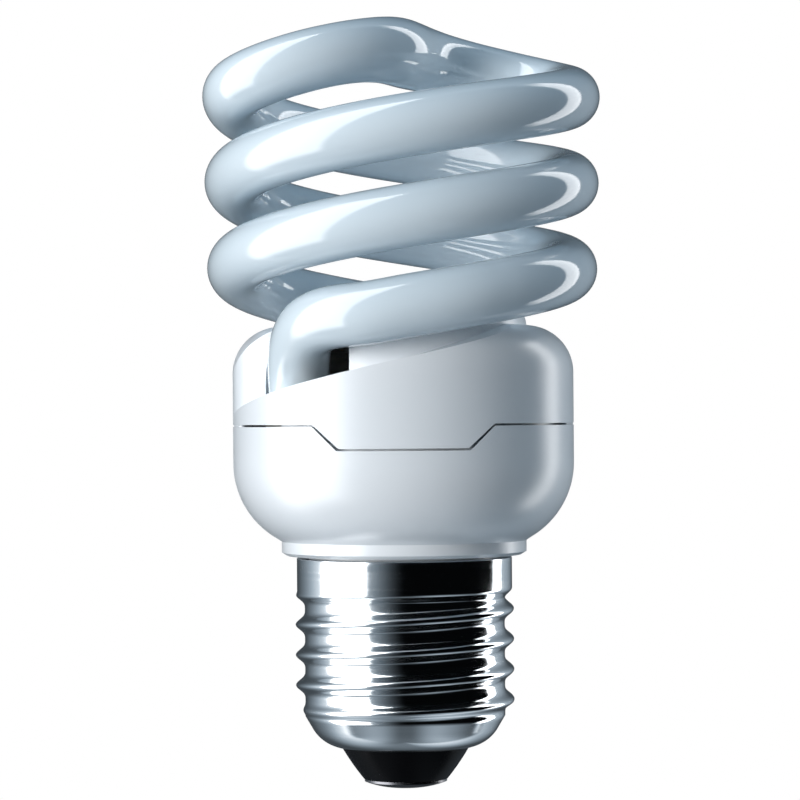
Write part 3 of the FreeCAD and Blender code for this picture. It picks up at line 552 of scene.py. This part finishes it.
def leg_line():
    """From the leg's end over the board up to the coil."""
    end_height = strand(-COIL_TURN)[2]
    reach = COIL_RADIUS - COIL_TAPER - LEG_CIRCLE
    out, ahead, up = LEG_MIDDLE
    straight = end_height - LEG_BEND[0][2] - LEG_FOOT
    points = [
        polar(LEG_CIRCLE, LEG_ANGLE, LEG_FOOT),
        polar(LEG_CIRCLE + out * reach, LEG_ANGLE + ahead, LEG_FOOT + straight * up),
    ]
    for out, ahead, drop in LEG_BEND:
        points.append(polar(LEG_CIRCLE + out * reach, LEG_ANGLE + ahead, end_height - drop))
    points += [strand(-COIL_TURN + LEAD_STEP * i) for i in range(LEAD_POINTS)]
    return through(np.array(points))


def crown_line():
    """From the coil to the middle of the crown, as one cubic curve."""
    start = strand(CROWN_START)
    angle = math.radians(CROWN_START)
    climb = COIL_PITCH / (2 * math.pi * COIL_RADIUS)
    first = np.array([-math.sin(angle), math.cos(angle), climb])
    first *= CROWN_FIRST_PULL / np.linalg.norm(first)
    middle = np.array([0, 0, CROWN_HEIGHT])
    way = math.radians(CROWN_WAY)
    last = -CROWN_LAST_PULL * np.array([math.cos(way), math.sin(way), 0])
    u = np.linspace(0, 1, CROWN_POINTS)[1:, None]
    line = (2 * u**3 - 3 * u**2 + 1) * start + (u**3 - 2 * u**2 + u) * first
    return line + (3 * u**2 - 2 * u**3) * middle + (u**3 - u**2) * last


def softened(points):
    """The crown's part of the line with its small changes of bend evened out."""
    offsets = np.arange(-SMOOTH_REACH, SMOOTH_REACH + 1)
    weights = np.exp(-0.5 * (offsets / SMOOTH_SPREAD) ** 2)
    weights /= weights.sum()
    padded = np.pad(points, ((SMOOTH_REACH, SMOOTH_REACH), (0, 0)), mode="edge")
    even = np.stack([np.convolve(padded[:, i], weights, "valid") for i in range(3)], -1)
    share = np.clip((points[:, 2] - SMOOTH_START) / SMOOTH_RISE, 0, 1)[:, None]
    return points + (even - points) * share


def glass_line():
    """The tube's middle line, whose second half is the first one turned half round."""
    coil = strand(np.arange(-COIL_TURN + LEAD_END, CROWN_START, 1.0))
    half = np.vstack([leg_line(), coil, crown_line()])
    whole = evenly(np.vstack([half, (half[::-1] * [-1, -1, 1])[1:]]))
    over = eased((whole[:, 2] - CROWN_LEAN_START) / CROWN_LEAN_RISE)
    whole[:, 2] += over * whole[:, 1] * math.tan(math.radians(CROWN_LEAN))
    return softened(whole)


def cross_ways(line):
    """Two directions across the line at each of its points."""
    along = np.gradient(line, axis=0)
    along /= np.linalg.norm(along, axis=1)[:, None]
    side = np.cross(along, [0, 0, 1.0])
    # Near the upright ends of the legs the side would turn at random, so it is carried on.
    middle = len(line) // 2
    for order in (range(middle, len(line)), range(middle, -1, -1)):
        last = None
        for i in order:
            if last is not None and np.linalg.norm(side[i]) < UPRIGHT:
                side[i] = last - along[i] * np.dot(last, along[i])
            side[i] /= np.linalg.norm(side[i])
            last = side[i].copy()
    return side, np.cross(side, along)


def skin(rings, closed=False):
    """Points in metres and faces of a skin over closed rings of points in millimetres. Where it
    is closed, the last ring is joined to the first."""
    count, around = rings.shape[:2]
    points = [tuple(p) for p in rings.reshape(-1, 3) * MM]
    faces = []
    for i in range(count if closed else count - 1):
        here, there = i * around, (i + 1) % count * around
        for j in range(around):
            k = (j + 1) % around
            faces.append((here + j, there + j, there + k, here + k))
    return points, faces


def end_faces(rings):
    """Faces that close the first and the last ring."""
    count, around = rings.shape[:2]
    last = (count - 1) * around
    return [tuple(range(around)), tuple(range(last, last + around))[::-1]]


def add_piece(name, points, faces, slot, replaced=None):
    """A piece of the visual model that rides the root body."""
    mesh = bpy.data.meshes.new(name)
    mesh.from_pydata(points, [], faces)
    mesh.validate()
    mesh.shade_smooth()
    piece = bpy.data.objects.new(name, mesh)
    scene.collection.objects.link(piece)
    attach(piece, "root")
    if replaced:
        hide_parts(replaced)
    mesh.materials.append(finishes[slot])


def make_glass():
    """The tube with its swell in the middle of the crown."""
    line = glass_line()[::STEPS_PER_RING]
    side, up = cross_ways(line)
    from_middle = (np.arange(len(line)) - (len(line) - 1) / 2) * STEP * STEPS_PER_RING
    swell = np.exp(-((from_middle / CROWN_SWELL) ** 2))
    radius = (TUBE_RADIUS + (CROWN_RADIUS - TUBE_RADIUS) * swell)[:, None, None]
    turn = np.linspace(0, 2 * math.pi, GLASS_AROUND, endpoint=False)[None, :, None]
    round_about = np.cos(turn) * side[:, None] + np.sin(turn) * up[:, None]
    rings = line[:, None] + radius * round_about
    points, faces = skin(rings)
    add_piece("glass_spiral", points, faces + end_faces(rings), "coated_glass", "spiral_tube")


def thread_radii(height, turn):
    """Radii round the cap at one height, with the thread's crest where it passes."""
    start = eased((height - CURVE_HEIGHT) / THREAD_RUN_IN)
    stop = eased((BARREL_BOTTOM - height) / THREAD_RUN_OUT)
    phase = turn - 2 * math.pi * (height - THREAD_PHASE) / THREAD_PITCH
    crest = ((1 + np.cos(phase)) / 2) ** CREST_POWER
    thread = THREAD_DEPTH * crest * start * stop
    return ROOT_RADIUS + thread + (BARREL_RADIUS - ROOT_RADIUS) * (1 - stop)


def foot_profile():
    """Radii and heights of the cap's rounded foot, from the glass up to the thread."""
    first = np.array([FOOT_RADIUS, FOOT_HEIGHT])
    last = np.array([KNEE_RADIUS, KNEE_HEIGHT])
    half = np.linalg.norm(last - first) / 2
    way = (last - first) / (2 * half)
    normal = np.array([-way[1], way[0]])
    centre = (first + last) / 2 + normal * math.sqrt(FOOT_ARC * FOOT_ARC - half * half)
    chord = first + (last - first) * np.linspace(0, 1, FOOT_ARC_POINTS)[:, None] - centre
    arc = centre + chord / np.linalg.norm(chord, axis=1)[:, None] * FOOT_ARC
    thread_start = np.array([ROOT_RADIUS, CURVE_HEIGHT])
    cone = last + (thread_start - last) * np.linspace(0, 1, FOOT_CONE_POINTS)[1:, None]
    return np.vstack([arc, cone])


def make_cap():
    """The cap as one sheet: up its outside, over the rim and down its inside to the glass."""
    turn = np.linspace(0, 2 * math.pi, CAP_AROUND, endpoint=False)
    outside = [(radius + 0 * turn, height) for radius, height in foot_profile()]
    heights = np.linspace(CURVE_HEIGHT, BARREL_BOTTOM, THREAD_ROWS + 1)[1:]
    outside += [(thread_radii(height, turn), height) for height in heights]
    heights = np.linspace(BARREL_FIRST_ROW, BARREL_LAST_ROW, BARREL_ROWS)
    rim = [(BARREL_RADIUS, height) for height in np.append(heights, CAP_TOP - RIM_EASE)]
    rim.append((BARREL_RADIUS - RIM_HALFWAY, CAP_TOP - RIM_HALFWAY))
    rim.append((BARREL_RADIUS - RIM_EASE, CAP_TOP))
    outside += [(radius + 0 * turn, height) for radius, height in rim]
    inside = []
    for radius, height in outside[2:-2:2]:
        lift = FOOT_LIFT if height < FOOT_LIFT_END else 0
        inside.append((radius - CAP_WALL, height + lift))
    lip_radius = FOOT_RADIUS - CAP_WALL + 0 * turn
    lip = [(lip_radius, FOOT_HEIGHT + CAP_WALL), (lip_radius, FOOT_HEIGHT + FOOT_LIP)]
    rows = outside + inside[::-1] + lip
    rings = [np.stack([r * np.cos(turn), r * np.sin(turn), z + 0 * turn], -1) for r, z in rows]
    # The rings run clockwise, so that the faces look outward.
    points, faces = skin(np.array(rings)[:, ::-1], closed=True)
    add_piece("threaded_cap", points, faces, "nickel_shell", "screw_shell")


def make_edge():
    """The cover's inner edge, which closes the parting line at the back and at both sides."""
    upper = (
        (EDGE_INSIDE, EDGE_HALF),
        (EDGE_OUTSIDE - EDGE_EASE_IN, EDGE_HALF),
        (EDGE_OUTSIDE, EDGE_HALF - EDGE_EASE_UP),
    )
    section = [(radius, PARTING_HEIGHT - rise) for radius, rise in upper]
    section += [(radius, PARTING_HEIGHT + rise) for radius, rise in upper[::-1]]
    turn = np.arange(EDGE_FIRST, EDGE_LAST + EDGE_STEP / 2, EDGE_STEP)
    fuller = EDGE_SWELL * np.cos(np.radians(turn)) ** EDGE_SWELL_POWER
    rings = np.stack([polar(radius + fuller, turn, height) for radius, height in section], 1)
    points, faces = skin(rings)
    add_piece("parting_edge", points, faces + end_faces(rings), "white_plastic")


def make_floor():
    """Pale floor, far enough below that the bulb's shadow falls outside the picture."""
    mesh = bpy.data.meshes.new("floor")
    corners = ((-1, -1), (1, -1), (1, 1), (-1, 1))
    points = [(x * FLOOR_HALF, y * FLOOR_HALF, FLOOR_HEIGHT) for x, y in corners]
    mesh.from_pydata(points, [], [(0, 1, 2, 3)])
    mesh.materials.append(material("floor", floor_paint))
    floor = bpy.data.objects.new("floor", mesh)
    scene.collection.objects.link(floor)
    floor.visible_glossy = False


make_camera()
make_world()
for lamp_name, settings in LAMPS.items():
    make_lamp(lamp_name, *settings)
finishes = dress()
make_glass()
make_cap()
make_edge()
make_floor()
